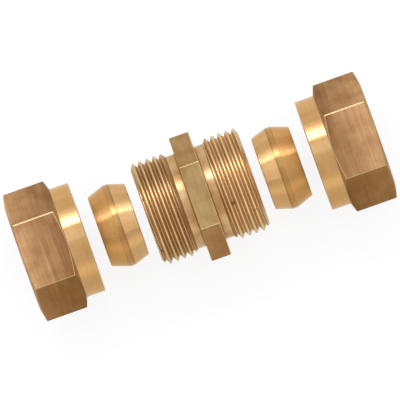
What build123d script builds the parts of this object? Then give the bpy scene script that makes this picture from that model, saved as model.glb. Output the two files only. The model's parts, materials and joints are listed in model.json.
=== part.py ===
from build123d import *
import math
import os

# Straight compression coupling for copper tube, laid out apart along the tube's axis:
# a body threaded at both ends, and on each side an olive and a nut that slide in to close on the tube.
# X runs along the tube, Z is up and the origin is the middle of the body. All sizes are in millimetres.

# Tube, and the radial room it has in each piece it passes
tube_diameter = 22.0
socket_clearance = 0.1
olive_clearance = 0.05
nut_hole_clearance = 0.15

# Olive: a ring with a crown band between two cones, the steeper one facing the body
olive_inner_wall = 0.5
olive_crown_wall = 2.15
olive_outer_wall = 0.2
olive_inner_cone = 5.15
olive_crown_width = 1.55
olive_outer_cone = 5.5

# Seats: how deep the olive goes into the body and into the nut, and the room left around its cones
body_seat_depth = 3.777
nut_seat_depth = 4.2
seat_clearance = 0.15

# Parallel pipe thread of the Whitworth form, right-handed
thread_pitch = 2.309
thread_angle = 55.0
thread_length = 11.7
thread_clearance = 0.15
cutter_overlap = 0.2

# Body: wall under the thread at the mouth, relief grooves, hexagon and the stop ring for the tube
lip_wall = 2.235
lip_chamfer_angle = 30.0
lip_chamfer_drop = 0.45
relief_width = 2.7
relief_drop = 0.05
body_hex_width = 6.4
body_flat_rise = 0.875
stop_width = 2.4
stop_rise = 1.1

# Nut: collar, hexagon, back wall, and the chamfers turned on both ends of the hexagon
collar_wall = 0.925
collar_length = 6.0
nut_flat_rise = 0.3
nut_hex_length = 15.0
nut_back_wall = 3.0
nut_front_chamfer_angle = 20.0
nut_back_chamfer_angle = 12.0
nut_back_land = 5.55
nut_mouth_chamfer = 0.5
nut_hole_chamfer = 0.4

# Rounding of the hexagons' long edges
hex_corner_radius = 0.6

# Room between the pieces as they lie apart
olive_gap = 3.15
nut_gap = 4.3

# Radii, from the tube outwards
tube_radius = tube_diameter / 2
socket_radius = tube_radius + socket_clearance
stop_radius = socket_radius - stop_rise
olive_bore_radius = tube_radius + olive_clearance
olive_inner_radius = olive_bore_radius + olive_inner_wall
olive_crown_radius = olive_bore_radius + olive_crown_wall
olive_outer_radius = olive_bore_radius + olive_outer_wall
nut_hole_radius = tube_radius + nut_hole_clearance

inner_cone_slope = (olive_crown_radius - olive_inner_radius) / olive_inner_cone
outer_cone_slope = (olive_crown_radius - olive_outer_radius) / olive_outer_cone
mouth_radius = olive_inner_radius + inner_cone_slope * body_seat_depth + seat_clearance
mouth_depth = (mouth_radius - socket_radius) / inner_cone_slope

triangle_height = thread_pitch / 2 / math.tan(math.radians(thread_angle / 2))
thread_depth = triangle_height * 2 / 3
root_radius = mouth_radius + lip_wall
thread_radius = root_radius + thread_depth
relief_radius = root_radius - relief_drop
lip_radius = root_radius - lip_chamfer_drop
body_across_flats = 2 * (thread_radius + body_flat_rise)

nut_bore_radius = thread_radius + thread_clearance
collar_radius = nut_bore_radius + collar_wall
nut_across_flats = 2 * (collar_radius + nut_flat_rise)
nut_seat_radius = olive_outer_radius + seat_clearance
nut_seat_mouth = nut_seat_radius + outer_cone_slope * nut_seat_depth
nut_back_radius = nut_hole_radius + nut_back_land

# Lengths along the axis
relief_end = body_hex_width / 2 + relief_width
body_end = relief_end + thread_length
stop_end = stop_width / 2
olive_length = olive_inner_cone + olive_crown_width + olive_outer_cone
olive_start = body_end + olive_gap
nut_length = collar_length + nut_hex_length
nut_start = olive_start + olive_length + nut_gap
nut_bore_depth = nut_length - nut_back_wall - nut_seat_depth

# A half turn that carries the right-hand side of the coupling to the left and keeps the thread's hand
other_side = Rotation(0, 180, 0)


def turned(*outline):
    """Revolve an outline of (x, radius) points about the tube's axis."""
    return revolve(make_face(Polyline(*outline, close=True)), Axis.X)


def hexagon_bar(across_flats, start, length):
    """A hexagonal bar along X with level flats above and below, its long edges rounded."""
    face = RegularPolygon(across_flats / 2, side_count=6, major_radius=False)
    bar = extrude(Plane.YZ.offset(start) * face, length)
    return fillet(bar.edges().filter_by(Axis.X), hex_corner_radius)


def thread_grooves():
    """The V groove between the thread's turns, one piece a turn, from the relief groove to past the lip."""
    groove_start = (body_hex_width / 2 + relief_end) / 2
    turns_to_lip = (body_end - groove_start) / thread_pitch
    root_half_width = thread_pitch / 12
    top_radius = thread_radius + cutter_overlap
    flank_run = (top_radius - root_radius) * math.tan(math.radians(thread_angle / 2))
    section = make_face(
        Polyline(
            (root_radius, -root_half_width),
            (top_radius, -root_half_width - flank_run),
            (top_radius, root_half_width + flank_run),
            (root_radius, root_half_width),
            close=True,
        )
    )
    turn = sweep(Plane.XZ * section, path=Helix(thread_pitch, thread_pitch, thread_radius), is_frenet=True)
    along_tube = Plane(origin=(groove_start, 0, 0), x_dir=(0, 1, 0), z_dir=(1, 0, 0))
    first_turn = along_tube * Rotation(0, 0, -360 * turns_to_lip) * turn
    return [Pos(X=i * thread_pitch) * first_turn for i in range(math.ceil(turns_to_lip) + 1)]


def threaded_end():
    """The body's right-hand half as turned from bar: relief groove, thread and chamfered lip."""
    lip_start = body_end - (thread_radius - lip_radius) * math.tan(math.radians(lip_chamfer_angle))
    blank = turned(
        (0, 0),
        (0, relief_radius),
        (relief_end, relief_radius),
        (relief_end + thread_radius - relief_radius, thread_radius),
        (lip_start, thread_radius),
        (body_end, lip_radius),
        (body_end, 0),
    )
    return blank - thread_grooves()


def tube_socket():
    """What is bored out of the body's right-hand half: stop, socket and the cone that seats the olive."""
    return turned(
        (0, 0),
        (0, stop_radius),
        (stop_end, stop_radius),
        (stop_end, socket_radius),
        (body_end - mouth_depth, socket_radius),
        (body_end, mouth_radius),
        (body_end, 0),
    )


def coupling_body():
    """One piece, threaded and bored from both ends, with the spanner hexagon round its middle."""
    hexagon = hexagon_bar(body_across_flats, -body_hex_width / 2, body_hex_width)
    end = threaded_end()
    socket = tube_socket()
    return hexagon + end + other_side * end - socket - other_side * socket


def olive():
    """The compression ring on the right-hand side."""
    crown_start = olive_start + olive_inner_cone
    crown_end = crown_start + olive_crown_width
    olive_end = olive_start + olive_length
    return turned(
        (olive_start, olive_bore_radius),
        (olive_end, olive_bore_radius),
        (olive_end, olive_outer_radius),
        (crown_end, olive_crown_radius),
        (crown_start, olive_crown_radius),
        (olive_start, olive_inner_radius),
    )


def nut():
    """The nut on the right-hand side: collar towards the body, hexagon and back wall outside."""
    nut_end = nut_start + nut_length
    hex_start = nut_start + collar_length
    corner_radius = nut_across_flats / math.sqrt(3)
    front_fall = (corner_radius - collar_radius) * math.tan(math.radians(nut_front_chamfer_angle))
    back_fall = (corner_radius - nut_back_radius) * math.tan(math.radians(nut_back_chamfer_angle))
    hexagon = hexagon_bar(nut_across_flats, nut_start, nut_length)
    envelope = turned(
        (nut_start, 0),
        (nut_start, collar_radius),
        (hex_start, collar_radius),
        (hex_start + front_fall, corner_radius),
        (nut_end - back_fall, corner_radius),
        (nut_end, nut_back_radius),
        (nut_end, 0),
    )
    bore_end = nut_start + nut_bore_depth
    seat_end = bore_end + nut_seat_depth
    cavity = turned(
        (nut_start, 0),
        (nut_start, nut_bore_radius + nut_mouth_chamfer),
        (nut_start + nut_mouth_chamfer, nut_bore_radius),
        (bore_end, nut_bore_radius),
        (bore_end, nut_seat_mouth),
        (seat_end, nut_seat_radius),
        (seat_end, nut_hole_radius),
        (nut_end - nut_hole_chamfer, nut_hole_radius),
        (nut_end, nut_hole_radius + nut_hole_chamfer),
        (nut_end, 0),
    )
    return (hexagon & envelope) - cavity


right_olive = olive()
right_nut = nut()
pieces = {
    "coupling_body": coupling_body(),
    "right_olive": right_olive,
    "left_olive": other_side * right_olive,
    "right_nut": right_nut,
    "left_nut": other_side * right_nut,
}

os.makedirs("parts", exist_ok=True)
for name, piece in pieces.items():
    export_step(piece, f"parts/{name}.step")
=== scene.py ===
import bmesh
import bpy
import json
import math
from mathutils import Matrix, Vector


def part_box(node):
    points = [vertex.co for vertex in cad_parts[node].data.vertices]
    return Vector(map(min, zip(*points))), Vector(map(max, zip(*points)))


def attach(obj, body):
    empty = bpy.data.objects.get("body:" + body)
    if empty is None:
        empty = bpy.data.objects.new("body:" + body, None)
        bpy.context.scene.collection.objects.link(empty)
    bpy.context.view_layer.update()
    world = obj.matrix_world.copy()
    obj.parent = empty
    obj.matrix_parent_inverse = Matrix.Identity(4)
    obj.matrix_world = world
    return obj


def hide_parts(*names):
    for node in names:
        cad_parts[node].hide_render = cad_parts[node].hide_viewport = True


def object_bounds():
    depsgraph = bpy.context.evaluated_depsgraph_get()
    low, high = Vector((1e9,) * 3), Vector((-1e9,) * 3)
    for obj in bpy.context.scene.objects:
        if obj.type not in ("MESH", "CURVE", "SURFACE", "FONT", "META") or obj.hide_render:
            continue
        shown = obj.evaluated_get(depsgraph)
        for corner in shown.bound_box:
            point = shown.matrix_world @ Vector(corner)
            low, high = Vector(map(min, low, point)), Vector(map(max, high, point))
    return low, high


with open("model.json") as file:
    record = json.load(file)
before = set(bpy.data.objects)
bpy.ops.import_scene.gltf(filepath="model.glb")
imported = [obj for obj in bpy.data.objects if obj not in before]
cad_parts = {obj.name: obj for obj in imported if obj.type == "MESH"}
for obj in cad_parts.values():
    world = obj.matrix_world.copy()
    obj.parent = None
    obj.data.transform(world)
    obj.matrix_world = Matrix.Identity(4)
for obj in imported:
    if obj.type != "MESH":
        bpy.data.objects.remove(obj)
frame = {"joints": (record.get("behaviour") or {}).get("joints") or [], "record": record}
cad_low, cad_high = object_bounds()

# Sizes of the pieces are in millimetres, as in the solids; those that the frame gives are read from it
MM = 0.001
mounts = {mount["name"]: mount for mount in frame["record"]["mounts"]}
travel = {joint["name"]: joint["range_m"][1] / MM for joint in frame["joints"]}


def box_mm(node):
    """Lower and upper corner of a node's box, in millimetres."""
    low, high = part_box(node)
    return low / MM, high / MM


body_high = box_mm("coupling_body")[1]
olive_low, olive_high = box_mm("right_olive")
nut_low, nut_high = box_mm("right_nut")

# Right-handed parallel pipe thread of the Whitworth form
thread_pitch = 2.309
flank_angle = math.radians(27.5)
thread_depth = thread_pitch / 2 / math.tan(flank_angle) * 2 / 3
thread_round = 0.137329 * thread_pitch
thread_clearance = 0.15

# Body
body_flat_rise = 0.875
hex_half_width = 3.2
relief_width = 2.7
relief_drop = 0.05
lip_wall = 2.235
lip_drop = 0.45
lip_slope = math.tan(math.radians(30))
stop_end = 1.2
stop_radius = 10.0
body_end = body_high.x
body_apothem = body_high.z
thread_radius = body_apothem - body_flat_rise
root_radius = thread_radius - thread_depth
relief_end = hex_half_width + relief_width
relief_radius = root_radius - relief_drop
lip_radius = root_radius - lip_drop
mouth_radius = root_radius - lip_wall
socket_radius = mounts["right_tube_socket"]["dims"]["r_mm"]
socket_end = stop_end + mounts["right_tube_socket"]["dims"]["length_mm"]

# Olive
olive_inner_wall = 0.5
olive_outer_wall = 0.2
inner_cone_length = 5.15
crown_width = 1.55
olive_bore = mounts["right_olive_bore"]["dims"]["r_mm"]
olive_crown = olive_high.z
olive_inner_end = olive_bore + olive_inner_wall
olive_outer_end = olive_bore + olive_outer_wall
crown_start = olive_low.x + inner_cone_length
crown_end = crown_start + crown_width

# Nut
collar_length = 6.0
nut_flat_rise = 0.3
nut_back_wall = 3.0
nut_back_land = 5.55
nut_seat_depth = 4.2
nut_undercut = 1.6
seat_clearance = 0.15
front_slope = math.tan(math.radians(20))
back_slope = math.tan(math.radians(12))
mouth_chamfer = 0.5
hole_chamfer = 0.4
nut_start = nut_low.x
nut_end = nut_high.x
nut_apothem = nut_high.z
hex_start = nut_start + collar_length
collar_radius = nut_apothem - nut_flat_rise
nut_bore = thread_radius + thread_clearance
nut_crest = root_radius + thread_clearance
nut_hole = mounts["right_nut_hole"]["dims"]["r_mm"]
nut_back_radius = nut_hole + nut_back_land
nut_seat_end = nut_end - nut_back_wall
nut_bore_end = nut_seat_end - nut_seat_depth
nut_seat_radius = olive_outer_end + seat_clearance
nut_seat_slope = (olive_crown - olive_outer_end) / (olive_high.x - crown_end)
nut_seat_mouth = nut_seat_radius + nut_seat_slope * nut_seat_depth

# Rounding of the hexagons' long edges and ends, and of the other edges from large to small
corner_round = 0.6
edge_round = 0.28
relief_round = 0.5
crown_round = 0.35
back_round = 0.3
step_round = 0.2
soft_round = 0.15
rim_round = 0.12
fine_round = 0.1
seat_round = 0.08

# Width of the strip of painted shade where a relief groove meets the thread
relief_shade = 0.2

# Mesh fineness: angle between columns, points along one thread turn, steps round an edge
column_step = math.radians(1.5)
turn_points = 16
edge_steps = 4
sharp_angle = math.radians(40)
weld_distance = 0.002
least_edge = 0.001

# Angle that one flat of a hexagon takes up; the corners lie at its multiples
sector = math.radians(60)


def off_corner(angle):
    """Angle from the nearest corner of a hexagon."""
    return abs((angle + sector / 2) % sector - sector / 2)


def corner_spread(apothem):
    """Half the angle that a rounded corner takes up, seen from the axis."""
    along_flat = (apothem - corner_round) * math.tan(sector / 2)
    return sector / 2 - math.atan2(along_flat, apothem)


def hexagon_radius(angle, apothem):
    """Distance from the axis to a hexagon with rounded corners."""
    off = off_corner(angle)
    if off < corner_spread(apothem):
        centre = (apothem - corner_round) / math.cos(sector / 2)
        return centre * math.cos(off) + math.sqrt(corner_round**2 - (centre * math.sin(off)) ** 2)
    return apothem / math.cos(sector / 2 - off)


def flat_tone(angle, apothem, upper, lower):
    """Tone of a hexagon at an angle, 0 on the two level flats.

    Upper is for the +Y side and lower for the -Y side, each (the level flats' corner, the other flats). The
    corner tone is a painted highlight, partly wear, and the other flats' tone is painted shade; both differ
    between the sides as the light falls on them.
    """
    corner_share = 1 - off_corner(angle) / corner_spread(apothem)
    corner, flat = upper if math.cos(angle) > 0 else lower
    steepness = abs(math.sin(angle))
    if steepness < math.sin(sector / 2):
        return flat
    if corner_share > 0:
        return corner * corner_share
    return 0.0 if steepness > math.sin(sector) else flat


def column_angles(apothem=None):
    """Angles once round the axis, both ends included, closer together at a hexagon's corners."""
    count = round(2 * math.pi / column_step)
    angles = {round(i * column_step, 9) for i in range(count)}
    if apothem:
        spread = corner_spread(apothem)
        for corner in range(6):
            for share in (-1.6, -1, -0.75, -0.5, -0.25, 0.25, 0.5, 0.75, 1, 1.6):
                angles.add(round((corner * sector + share * spread) % (2 * math.pi), 9))
    return sorted(angles) + [2 * math.pi]


def outline(*corners):
    """Points along straight runs with rounded corners. A corner is (x, radius, rounding, finish, tone, edge).

    Finish and tone are those of the surface after the corner, and the edge is the tone midway round it.
    A tone above 0 is bright, partly from wear and partly as a painted highlight, and one below 0 is painted
    shade.
    """
    most_of_run = 0.45
    points = []
    before = corners[0][4]
    for i, (x, radius, rounding, finish, tone, edge) in enumerate(corners):
        here = Vector((x, radius))
        if rounding == 0 or i in (0, len(corners) - 1):
            points.append((x, radius, finish, edge))
            before = tone
            continue
        back = Vector(corners[i - 1][:2]) - here
        ahead = Vector(corners[i + 1][:2]) - here
        reach = min(rounding, most_of_run * back.length, most_of_run * ahead.length)
        first = here + back.normalized() * reach
        last = here + ahead.normalized() * reach
        for step in range(edge_steps + 1):
            s = step / edge_steps
            place = first * (1 - s) ** 2 + here * 2 * s * (1 - s) + last * s**2
            share = 4 * s * (1 - s)
            blend = before * (1 - s) + tone * s
            points.append((place.x, place.y, finish, blend * (1 - share) + edge * share))
        before = tone
    return points


def thread_height(along):
    """Height of the thread above its root, by the distance along the axis from a crest."""
    off_crest = abs((along + thread_pitch / 2) % thread_pitch - thread_pitch / 2)
    if off_crest < thread_round * math.cos(flank_angle):
        return thread_depth - thread_round + math.sqrt(thread_round**2 - off_crest**2)
    return max(thread_depth / 2 + (thread_pitch / 4 - off_crest) / math.tan(flank_angle), 0.0)


def thread_rows(angle, crest, low, high):
    """Places along the axis of the points of a right-handed thread at one angle, and each one's height.

    The points follow the helix, so the rows run along crests and roots.
    Those past an end are drawn back to it.
    """
    advance = thread_pitch * angle / (2 * math.pi)
    turns = math.ceil((high - low) / thread_pitch) + 1
    first_turn = math.floor((low - crest) / thread_pitch) - 1
    for i in range((turns + 2) * turn_points + 1):
        along = (first_turn + i / turn_points) * thread_pitch
        x = min(max(crest + along + advance, low), high)
        yield x, thread_height(x - crest - advance)


def body_thread(angle, side):
    """Outline of one threaded end of the body, from the relief groove to the lip."""
    crest = body_end - thread_pitch / 2
    finish = "right_thread" if side > 0 else "left_thread"
    points = []
    for x, height in thread_rows(angle * side, crest, relief_end, body_end):
        run_out = relief_radius + (x - relief_end)
        lip = lip_radius + (body_end - x) / lip_slope
        if root_radius + height < min(run_out, lip):
            # The tone paints shade down the flanks; the root gets its own lighter paint
            tone = 2 * height / thread_depth - 2
            points.append((side * x, root_radius + height, finish, tone))
        else:
            points.append((side * x, min(run_out, lip), "chamfer" if run_out < lip else "face", 0))
    return points if side > 0 else points[::-1]


def body_outline(angle):
    """Closed outline of the body at one angle, starting at the right-hand lip and going inside."""
    flat = hexagon_radius(angle, body_apothem)
    # Painted highlight, partly wear, on the hexagon's corners and painted shade on its side flats
    tone = flat_tone(angle, body_apothem, upper=(0.35, -0.16), lower=(0.8, -0.4))
    # Rims are bright, partly wear and partly painted highlight; the corners inside the bore are painted shade
    bored = outline(
        (body_end, lip_radius, 0, "turned", 0, 0),
        (body_end, mouth_radius, soft_round, "turned", 0, 0.3),
        (socket_end, socket_radius, soft_round, "turned", 0, 0),
        (stop_end, socket_radius, fine_round, "turned", 0, -0.5),
        (stop_end, stop_radius, step_round, "turned", 0, 0.3),
        (-stop_end, stop_radius, step_round, "turned", 0, 0.3),
        (-stop_end, socket_radius, fine_round, "turned", 0, -0.5),
        (-socket_end, socket_radius, soft_round, "turned", 0, 0),
        (-body_end, mouth_radius, soft_round, "turned", 0, 0.3),
        (-body_end, lip_radius, 0, "turned", 0, 0),
    )
    # Painted shade in the relief's corners beside the hexagon and at the thread; the hexagon's ends get a
    # painted highlight, partly wear
    middle = outline(
        (-relief_end, relief_radius, 0, "turned", 0, -0.5),
        (relief_shade - relief_end, relief_radius, 0, "turned", 0, 0),
        (-hex_half_width, relief_radius, relief_round, "turned", 0, -0.9),
        (-hex_half_width, flat, edge_round, "hexagon", tone, max(tone, 0.1)),
        (hex_half_width, flat, edge_round, "turned", 0, max(tone, 0.1)),
        (hex_half_width, relief_radius, relief_round, "turned", 0, -0.9),
        (relief_end - relief_shade, relief_radius, 0, "turned", 0, 0),
        (relief_end, relief_radius, 0, "chamfer", 0, -0.5),
    )
    return bored + body_thread(angle, -1) + middle + body_thread(angle, 1)


def olive_outline(angle):
    """Closed outline of the right-hand olive, the same at every angle, starting on its inner end."""
    on_end = olive_bore + 0.6 * olive_inner_wall
    # The crown's edges are painted shade; the rims are bright, partly wear and partly painted highlight
    points = outline(
        (olive_low.x, on_end, 0, "turned", 0, 0),
        (olive_low.x, olive_inner_end, soft_round, "inner_cone", 0, 0.3),
        (crown_start, olive_crown, crown_round, "crown", 0, -0.4),
        (crown_end, olive_crown, crown_round, "outer_cone", 0, -0.4),
        (olive_high.x, olive_outer_end, rim_round, "turned", 0, 0.3),
        (olive_high.x, olive_bore, fine_round, "turned", 0, 0),
        (olive_low.x, olive_bore, fine_round, "turned", 0, 0),
        (olive_low.x, on_end, 0, "turned", 0, 0),
    )
    return points[:-1]


def nut_thread(angle):
    """Outline of the thread inside the right-hand nut, from the undercut out to its mouth."""
    closing = travel["right_olive_slide"] + travel["right_nut_slide"]
    groove = body_end - thread_pitch / 2 + closing
    low, high = nut_start + mouth_chamfer, nut_bore_end - nut_undercut
    points = []
    for x, height in thread_rows(angle, groove, low, high):
        radius = max(
            min(nut_crest + height, nut_bore),
            nut_bore - (x - low),
            nut_bore - (high - x),
        )
        # The tone paints shade into the thread's grooves
        points.append((x, radius, "thread", -height / thread_depth))
    return points[::-1]


def nut_outline(angle):
    """Closed outline of the right-hand nut at one angle, starting at its mouth."""
    flat = hexagon_radius(angle, nut_apothem)
    flat_start = hex_start + (flat - collar_radius) * front_slope
    flat_end = nut_end - (flat - nut_back_radius) * back_slope
    # Painted highlight, partly wear, on the hexagon's corners and painted shade on its side flats
    tone = flat_tone(angle, nut_apothem, upper=(1, -0.16), lower=(0.5, -0.6))
    # The flats' ends get a painted highlight, partly wear, and keep the side flats' painted shade
    edge = tone if tone < 0 else 0.7
    # Rims are bright, partly wear and partly painted highlight; the chamfer beside the collar, the back slope
    # and the corners inside are painted shade
    points = outline(
        (nut_start + mouth_chamfer, nut_bore, 0, "face", 0, 0),
        (nut_start, nut_bore + mouth_chamfer, fine_round, "face", 0, 0),
        (nut_start, collar_radius, rim_round, "turned", 0, 0.8),
        (hex_start, collar_radius, rim_round, "chamfer", -0.25, -0.5),
        (flat_start, flat, edge_round, "hexagon", tone, edge),
        (flat_end, flat, edge_round, "hexagon", -0.5, max(tone, 0)),
        (nut_end, nut_back_radius, back_round, "turned", 0, -0.2),
        (nut_end, nut_hole + hole_chamfer, fine_round, "turned", 0, 0.2),
        (nut_end - hole_chamfer, nut_hole, fine_round, "turned", 0, 0.2),
        (nut_seat_end, nut_hole, fine_round, "turned", 0, 0),
        (nut_seat_end, nut_seat_radius, seat_round, "turned", 0, -0.4),
        (nut_bore_end, nut_seat_mouth, soft_round, "turned", 0, 0.2),
        (nut_bore_end, nut_bore, step_round, "turned", 0, -0.5),
        (nut_bore_end - nut_undercut, nut_bore, 0, "thread", 0, -0.5),
    )
    return points + nut_thread(angle)


def swept_mesh(name, angles, outline_at, finishes):
    """Mesh of a closed outline, which may change with the angle, swept once round the axis."""
    outlines = [outline_at(angle) for angle in angles]
    rows = len(outlines[0])
    places, tones = [], []
    for angle, points in zip(angles, outlines):
        for x, radius, _, tone in points:
            places.append((x * MM, radius * math.cos(angle) * MM, radius * math.sin(angle) * MM))
            tones.append(tone)
    slots = {finish: i for i, finish in enumerate(finishes)}
    faces, finish_of = [], []
    for column in range(len(angles) - 1):
        here, there = column * rows, (column + 1) * rows
        for row in range(rows):
            after = (row + 1) % rows
            faces.append((here + row, there + row, there + after, here + after))
            finish_of.append(slots[outlines[column][row][2]])
    mesh = bpy.data.meshes.new(name)
    mesh.from_pydata(places, [], faces)
    mesh.polygons.foreach_set("material_index", finish_of)
    tone_layer = mesh.attributes.new("tone", "FLOAT", "POINT")
    tone_layer.data.foreach_set("value", tones)
    return mesh


def weld(mesh):
    """Join the first column to the last, drop faces of no area and turn every face outwards."""
    work = bmesh.new()
    work.from_mesh(mesh)
    bmesh.ops.remove_doubles(work, verts=work.verts, dist=weld_distance * MM)
    bmesh.ops.dissolve_degenerate(work, edges=work.edges, dist=least_edge * MM)
    bmesh.ops.recalc_face_normals(work, faces=work.faces)
    for face in work.faces:
        face.smooth = True
    work.to_mesh(mesh)
    work.free()
    mesh.set_sharp_from_angle(angle=sharp_angle)


def ring_piece(name, angles, outline_at, finishes, body, half_turn=False):
    """A piece made by sweeping an outline; half a turn about Y carries it to the left-hand side."""
    mesh = swept_mesh(name, angles, outline_at, finishes)
    weld(mesh)
    if half_turn:
        mesh.transform(Matrix.Rotation(math.pi, 4, "Y"))
    for material in finishes.values():
        mesh.materials.append(material)
    piece = bpy.data.objects.new(name, mesh)
    bpy.context.collection.objects.link(piece)
    normals = piece.modifiers.new("even_flats", "WEIGHTED_NORMAL")
    normals.keep_sharp = True
    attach(piece, body)
    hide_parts(body)


def srgb(red, green, blue):
    """A colour as the shader takes it, from the 0 to 255 levels that a screen shows."""
    levels = (red / 255, green / 255, blue / 255)
    return [c / 12.92 if c <= 0.04045 else ((c + 0.055) / 1.055) ** 2.4 for c in levels] + [1]


class Nodes:
    """A node tree, with short ways to add and join nodes."""

    def __init__(self, tree):
        self.tree = tree

    def add(self, kind, inputs=None, **settings):
        node = self.tree.nodes.new(kind)
        for key, value in settings.items():
            setattr(node, key, value)
        for key, value in (inputs or {}).items():
            self.put(node, key, value)
        return node

    def put(self, node, key, value):
        if isinstance(value, bpy.types.NodeSocket):
            self.tree.links.new(value, node.inputs[key])
        else:
            node.inputs[key].default_value = value

    def math(self, operation, first, second=0.0):
        return self.add("ShaderNodeMath", {0: first, 1: second}, operation=operation).outputs[0]

    def mix(self, share, first, second, blend="MIX"):
        node = self.add("ShaderNodeMix", data_type="RGBA", blend_type=blend)
        for socket, value in ((0, share), (6, first), (7, second)):
            self.put(node, socket, value)
        return node.outputs[2]

    def ramp(self, value, low, high, to_low=0.0, to_high=1.0):
        inputs = {"Value": value, "From Min": low, "From Max": high, "To Min": to_low, "To Max": to_high}
        return self.add("ShaderNodeMapRange", inputs).outputs[0]

    def noise(self, vector, scale, detail=3.0):
        inputs = {"Vector": vector, "Scale": scale, "Detail": detail}
        return self.add("ShaderNodeTexNoise", inputs).outputs["Fac"]


def new_material(name):
    """A material, its nodes and its shader."""
    material = bpy.data.materials.new(name)
    material.use_nodes = True
    nodes = Nodes(material.node_tree)
    return material, nodes, nodes.tree.nodes["Principled BSDF"]


# Dark paint for dirt and specks, and for broad painted shade on the threads
grime_and_shade = srgb(104, 64, 28)
# Brown for painted shade in corners, creases and on shaded faces
shade_brown = srgb(124, 74, 32)
# Bright paint for edges: partly wear, partly painted highlight
wear_and_highlight = srgb(250, 212, 158)
edge_tint = (1, 0.94, 0.8, 1)

# How fine the marks, patches and specks on the brass are, per metre, and how deep the marks
broad_marks = 660
fine_marks = 5040
patch_scale = 160
speck_scale = 1800
mark_depth = 0.02


def tool_marks(nodes, place, stretch):
    """Fine marks, and broad and fine marks together, drawn out round the axis by the stretch."""
    drawn = nodes.add("ShaderNodeMapping", {"Vector": place, "Scale": (stretch, 1, 1)}).outputs[0]
    broad = nodes.noise(drawn, broad_marks / stretch, 4)
    fine = nodes.noise(drawn, fine_marks / stretch, 3)
    both = nodes.math("ADD", nodes.math("MULTIPLY", broad, 0.65), nodes.math("MULTIPLY", fine, 0.35))
    return fine, both


def shaded(nodes, paint, level):
    """Paint at a level of brightness, which turns redder as it gets darker."""
    channels = {i: nodes.math("POWER", level, power) for i, power in enumerate((0.85, 1.05, 1.25))}
    brightness = nodes.add("ShaderNodeCombineColor", channels).outputs[0]
    return nodes.mix(1.0, paint, brightness, "MULTIPLY")


def with_spot(nodes, paint, place, fine, middle, radius, strength):
    """Paint with a ragged darker spot: dirt where it is small, painted shade where it is broad."""
    spot = [c * MM for c in middle]
    away = nodes.add("ShaderNodeVectorMath", {0: place, 1: spot}, operation="DISTANCE").outputs["Value"]
    ragged = nodes.math("ADD", away, nodes.math("MULTIPLY", fine, radius * MM))
    share = nodes.ramp(ragged, 0.9 * radius * MM, 1.6 * radius * MM, strength, 0)
    return nodes.mix(share, paint, grime_and_shade)


def brass(
    name, colour, warm, roughness, stretch, streak,
    anisotropy=0.0, dark=shade_brown, deep=None, fade=None, spots=(),
):
    """Brass with tool marks round the axis, warmer patches, specks, bright edges that are partly wear and
    partly painted highlight, and painted shade in corners.

    The stretch is how much longer the marks are round the axis than along it, the streak how strong they are.
    Dark is the painted shade at a tone of -1, and deep, where there is one, the paint at -2, which is the
    thread's root.
    A fade is (distance from the body's middle, another one, level at the first, level at the other).
    Spots of dirt, and broad ones of painted shade, are (middle, radius, strength).
    """
    material, nodes, shader = new_material(name)
    place = nodes.add("ShaderNodeTexCoord").outputs["Object"]
    tone = nodes.add("ShaderNodeAttribute", attribute_name="tone").outputs["Fac"]
    fine, marks = tool_marks(nodes, place, stretch)
    patches = nodes.noise(place, patch_scale, 3)
    specks = nodes.noise(place, speck_scale, 1)
    paint = nodes.mix(nodes.ramp(patches, 0.38, 0.66), colour, warm)
    paint = nodes.mix(nodes.ramp(specks, 0.7, 0.78, 0, 0.35), paint, grime_and_shade)
    level = nodes.ramp(marks, 0.35, 0.65, 1 - streak, 1 + streak)
    if fade:
        near, far, near_level, far_level = fade
        x = nodes.add("ShaderNodeSeparateXYZ", {0: place}).outputs["X"]
        faded = nodes.ramp(nodes.math("ABSOLUTE", x), near * MM, far * MM, near_level, far_level)
        level = nodes.math("MULTIPLY", level, faded)
    paint = shaded(nodes, paint, level)
    # A tone above 0 mixes in the bright edge paint: wear and painted highlight
    paint = nodes.mix(nodes.ramp(tone, 0.05, 0.9, 0, 0.9), paint, wear_and_highlight)
    # A tone below 0 mixes in painted shade
    paint = nodes.mix(nodes.ramp(tone, -0.05, -1.0, 0, 0.9), paint, dark)
    rough = nodes.ramp(marks, 0.3, 0.7, roughness * 0.85, roughness * 1.15)
    if deep:
        paint = nodes.mix(nodes.ramp(tone, -1.0, -2.0, 0, 1), paint, deep)
        flank_dull = nodes.ramp(tone, -0.3, -1.0, 0, 0.2)
        root_shine = nodes.ramp(tone, -1.2, -1.9, 0, 0.15)
        rough = nodes.math("ADD", rough, nodes.math("SUBTRACT", flank_dull, root_shine))
    for spot in spots:
        paint = with_spot(nodes, paint, place, fine, *spot)
    nodes.put(shader, "Base Color", paint)
    nodes.put(shader, "Metallic", 1.0)
    nodes.put(shader, "Roughness", rough)
    nodes.put(shader, "Specular Tint", edge_tint)
    if anisotropy:
        nodes.put(shader, "Anisotropic", anisotropy)
        nodes.put(shader, "Anisotropic Rotation", 0.25)
        turned = nodes.add("ShaderNodeTangent", direction_type="RADIAL", axis="X")
        nodes.put(shader, "Tangent", turned.outputs[0])
    bump = nodes.add("ShaderNodeBump", {"Strength": 0.25, "Distance": mark_depth * MM, "Height": marks})
    nodes.put(shader, "Normal", bump.outputs[0])
    return material


def turned_brass(name, colour, warm, roughness, anisotropy=0.0):
    """Brass as a lathe leaves it, with faint, long marks."""
    return brass(name, colour, warm, roughness, stretch=40, streak=0.05, anisotropy=anisotropy)


def thread_brass(name, colour, warm, **finish):
    """Brass as cutting a thread leaves it."""
    return brass(name, colour, warm, roughness=0.3, stretch=30, streak=0.1, **finish)


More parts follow.
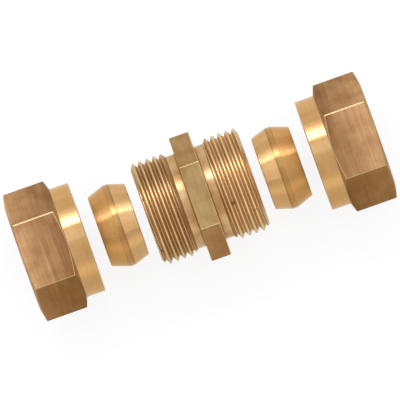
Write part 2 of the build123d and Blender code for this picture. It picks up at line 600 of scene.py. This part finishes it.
# Small dark spots of dirt on the threads, then broad painted shade on both threads' +Y sides and the
# left-hand one's -Y side
thread_grime_and_shade = (
    ((9.1, -5.7, 14.1), 0.8, 0.6),
    ((15.0, -9.8, 13.4), 0.5, 0.6),
    ((6.5, 13.4, 7.2), 0.7, 0.6),
    ((-17.0, 4.6, 14.5), 0.7, 0.6),
    ((-16.6, -12.2, 9.1), 0.8, 0.6),
    # Broad painted shade
    ((12, 12.5, 10.9), 8, 0.14),
    ((-12, 12.5, 10.9), 8, 0.22),
    ((-12, -13, 10), 8, 0.1),
)

# Finishes that body and nuts share
chamfer_brass = turned_brass("chamfer", srgb(196, 171, 135), srgb(188, 160, 122), 0.45)
face_brass = turned_brass("cut_face", srgb(212, 186, 148), srgb(206, 178, 138), 0.42)

body_finishes = {
    "turned": turned_brass("body_turned", srgb(219, 184, 133), srgb(195, 150, 97), 0.38, 0.85),
    "chamfer": chamfer_brass,
    "face": face_brass,
    # The body hexagon's dark is painted shade on its side flats
    "hexagon": brass(
        "body_hexagon", srgb(177, 146, 96), srgb(160, 122, 74),
        roughness=0.46, stretch=6, streak=0.14, dark=srgb(172, 102, 54),
    ),
    # The threads' dark is painted shade on the flanks
    "right_thread": thread_brass(
        "body_right_thread", srgb(238, 202, 154), srgb(232, 192, 142),
        dark=srgb(197, 175, 134), deep=srgb(216, 178, 130), spots=thread_grime_and_shade,
    ),
    "left_thread": thread_brass(
        "body_left_thread", srgb(232, 191, 141), srgb(226, 180, 128),
        dark=srgb(178, 160, 124), deep=srgb(201, 162, 114), spots=thread_grime_and_shade,
    ),
}
# The olive is one brass; its inner cone is painted lighter and its crown darker than the outer cone, as
# painted light and shade
outer_cone_brass = turned_brass("olive_outer_cone", srgb(207, 157, 94), srgb(201, 148, 87), 0.26, 0.8)
olive_finishes = {
    "turned": outer_cone_brass,
    "inner_cone": turned_brass("olive_inner_cone", srgb(214, 171, 114), srgb(208, 161, 104), 0.22, 0.75),
    "crown": turned_brass("olive_crown", srgb(188, 144, 87), srgb(182, 134, 80), 0.28, 0.8),
    "outer_cone": outer_cone_brass,
}
nut_finishes = {
    "turned": turned_brass("nut_turned", srgb(212, 167, 110), srgb(207, 159, 101), 0.2, 0.7),
    "chamfer": chamfer_brass,
    "face": face_brass,
    # The nut flats' dark is painted shade on their side flats and back slope
    "hexagon": brass(
        "nut_flats", srgb(190, 146, 100), srgb(170, 123, 80),
        roughness=0.42, stretch=22, streak=0.26, dark=srgb(130, 82, 4), fade=(hex_start, nut_end, 0.58, 1.12),
    ),
    "thread": thread_brass("nut_thread", srgb(220, 174, 122), srgb(212, 162, 110), dark=srgb(200, 172, 136)),
}

ring_piece(
    "body_piece", column_angles(body_apothem), body_outline, body_finishes,
    "coupling_body",
)
for side in ("right", "left"):
    ring_piece(
        f"{side}_olive_piece", column_angles(), olive_outline, olive_finishes,
        f"{side}_olive", half_turn=side == "left",
    )
    ring_piece(
        f"{side}_nut_piece", column_angles(nut_apothem), nut_outline, nut_finishes,
        f"{side}_nut", half_turn=side == "left",
    )


# Floor, lights and camera, with sizes in metres
def add_floor():
    """A floor under the nuts, lifted to white where it is seen directly and nearly so in a reflection.

    In a reflection it is darker beside the pieces towards -Y, lighter towards +Y, and even farther off.
    """
    half = 1.5
    grey = 0.16
    level = cad_low.z
    mesh = bpy.data.meshes.new("floor")
    corners = [(-half, -half, level), (half, -half, level), (half, half, level), (-half, half, level)]
    mesh.from_pydata(corners, [], [(0, 1, 2, 3)])
    floor = bpy.data.objects.new("floor", mesh)
    bpy.context.collection.objects.link(floor)
    material, nodes, shader = new_material("floor")
    rays = nodes.add("ShaderNodeLightPath").outputs
    place = nodes.add("ShaderNodeTexCoord").outputs["Object"]
    across = nodes.add("ShaderNodeSeparateXYZ", {0: place}).outputs["Y"]
    beside = nodes.ramp(across, -0.06, 0.06, 0.76, 0.97)
    mirrored = nodes.ramp(nodes.math("ABSOLUTE", across), 0.08, 0.25, beside, 0.8)
    in_metal = nodes.math("MULTIPLY", rays["Is Glossy Ray"], mirrored)
    seen = nodes.math("MAXIMUM", rays["Is Camera Ray"], in_metal)
    seen = nodes.math("MAXIMUM", seen, rays["Is Transmission Ray"])
    nodes.put(shader, "Base Color", (grey, grey, grey, 1))
    nodes.put(shader, "Roughness", 0.9)
    nodes.put(shader, "Specular IOR Level", 0.0)
    nodes.put(shader, "Emission Color", (1, 1, 1, 1))
    nodes.put(shader, "Emission Strength", nodes.math("MULTIPLY", seen, 1 - grey))
    mesh.materials.append(material)


def add_light(name, place, along, across, radiance, colour, tilt=0.0):
    """A rectangular area light, its first side along the tube, turned by a tilt to +Y from straight down."""
    lamp = bpy.data.lights.new(name, "AREA")
    lamp.shape = "RECTANGLE"
    lamp.size = along
    lamp.size_y = across
    lamp.energy = radiance * math.pi * along * across
    lamp.color = colour
    light = bpy.data.objects.new(name, lamp)
    light.location = place
    light.rotation_euler = (-tilt, 0, 0)
    light.visible_camera = False
    bpy.context.collection.objects.link(light)


def add_panel(name, low, high, along, radiance, colour, distance=0.5, middle=0.0):
    """A panel of light along the tube, between two angles in degrees from straight above to +Y.

    Panels that overlap stand at different distances, one behind the other, so that their light adds up.
    """
    tilt = math.radians((low + high) / 2)
    across = 2 * distance * math.tan(math.radians((high - low) / 2))
    place = (middle, distance * math.sin(tilt), distance * math.cos(tilt))
    add_light(name, place, along, across, radiance, colour, tilt)


def add_world(near, far):
    """Even light from all round, a little less from -Y; what the camera sees past the floor is white."""
    world = bpy.data.worlds.new("studio")
    world.use_nodes = True
    bpy.context.scene.world = world
    nodes = Nodes(world.node_tree)
    direction = nodes.add("ShaderNodeTexCoord").outputs["Generated"]
    across = nodes.add("ShaderNodeSeparateXYZ", {0: direction}).outputs["Y"]
    level = nodes.ramp(across, -0.4, 0.1, near, far)
    seen = nodes.add("ShaderNodeLightPath").outputs["Is Camera Ray"]
    back = nodes.tree.nodes["Background"]
    nodes.put(back, "Color", (1, 1, 1, 1))
    nodes.put(back, "Strength", nodes.ramp(seen, 0, 1, level, 1))


def add_camera():
    """A far camera nearly straight above, turned so that the tube's axis climbs to the right."""
    climb = math.radians(19.5)
    lean = math.radians(1.2)
    distance = 4.0
    view_width = 123.8 * MM
    object_above_middle = 1.1 * MM
    right = Vector((math.cos(climb), -math.sin(climb), 0))
    up = Vector((math.sin(climb), math.cos(climb), 0))
    turn = Matrix((right, up, Vector((0, 0, 1)))).transposed()
    tipped = Matrix.Rotation(lean, 3, "X") @ turn
    camera = bpy.data.cameras.new("camera")
    camera.sensor_width = 36
    camera.lens = camera.sensor_width * distance / view_width
    camera.clip_end = 10
    eye = bpy.data.objects.new("camera", camera)
    place = tipped @ Vector((0, -object_above_middle, distance))
    eye.matrix_world = Matrix.Translation(place) @ tipped.to_4x4()
    bpy.context.collection.objects.link(eye)
    bpy.context.scene.camera = eye


daylight = (0.86, 0.97, 1.2)
cold_light = (0.8, 1.0, 1.35)
sky_light = (0.64, 0.97, 1.65)
warm_light = (1.0, 0.94, 0.78)
add_floor()
add_world(near=0.8, far=0.93)
add_panel("key", 32, 47, along=0.4, radiance=3.6, colour=daylight)
add_panel("key_wings", 32, 47, along=1.5, radiance=1.1, colour=daylight, distance=0.52)
add_panel("key_fade", 47, 55, along=0.5, radiance=1.0, colour=daylight)
add_panel("wings_fade", 47, 66, along=1.5, radiance=0.35, colour=daylight)
add_panel("top", 2, 22, along=0.5, radiance=0.2, colour=sky_light)
add_panel("top_wide", 0, 31, along=0.5, radiance=0.12, colour=sky_light)
add_panel("back_wide", -88, -46, along=1.0, radiance=0.1, colour=warm_light, distance=0.54)
add_panel("back", -80, -54, along=1.0, radiance=0.1, colour=warm_light, distance=0.52)
add_panel("back_core", -76, -58, along=1.0, radiance=0.08, colour=warm_light)
for side in (-1, 1):
    above_nut = (0.086 * side, 0, 0.16)
    add_light("card", above_nut, along=0.036, across=0.175, radiance=0.65, colour=daylight)
    add_panel("wing_end", 32, 48, along=0.3, radiance=0.6, colour=cold_light, middle=0.5 * side)
add_camera()
bpy.context.scene.view_settings.view_transform = "Standard"
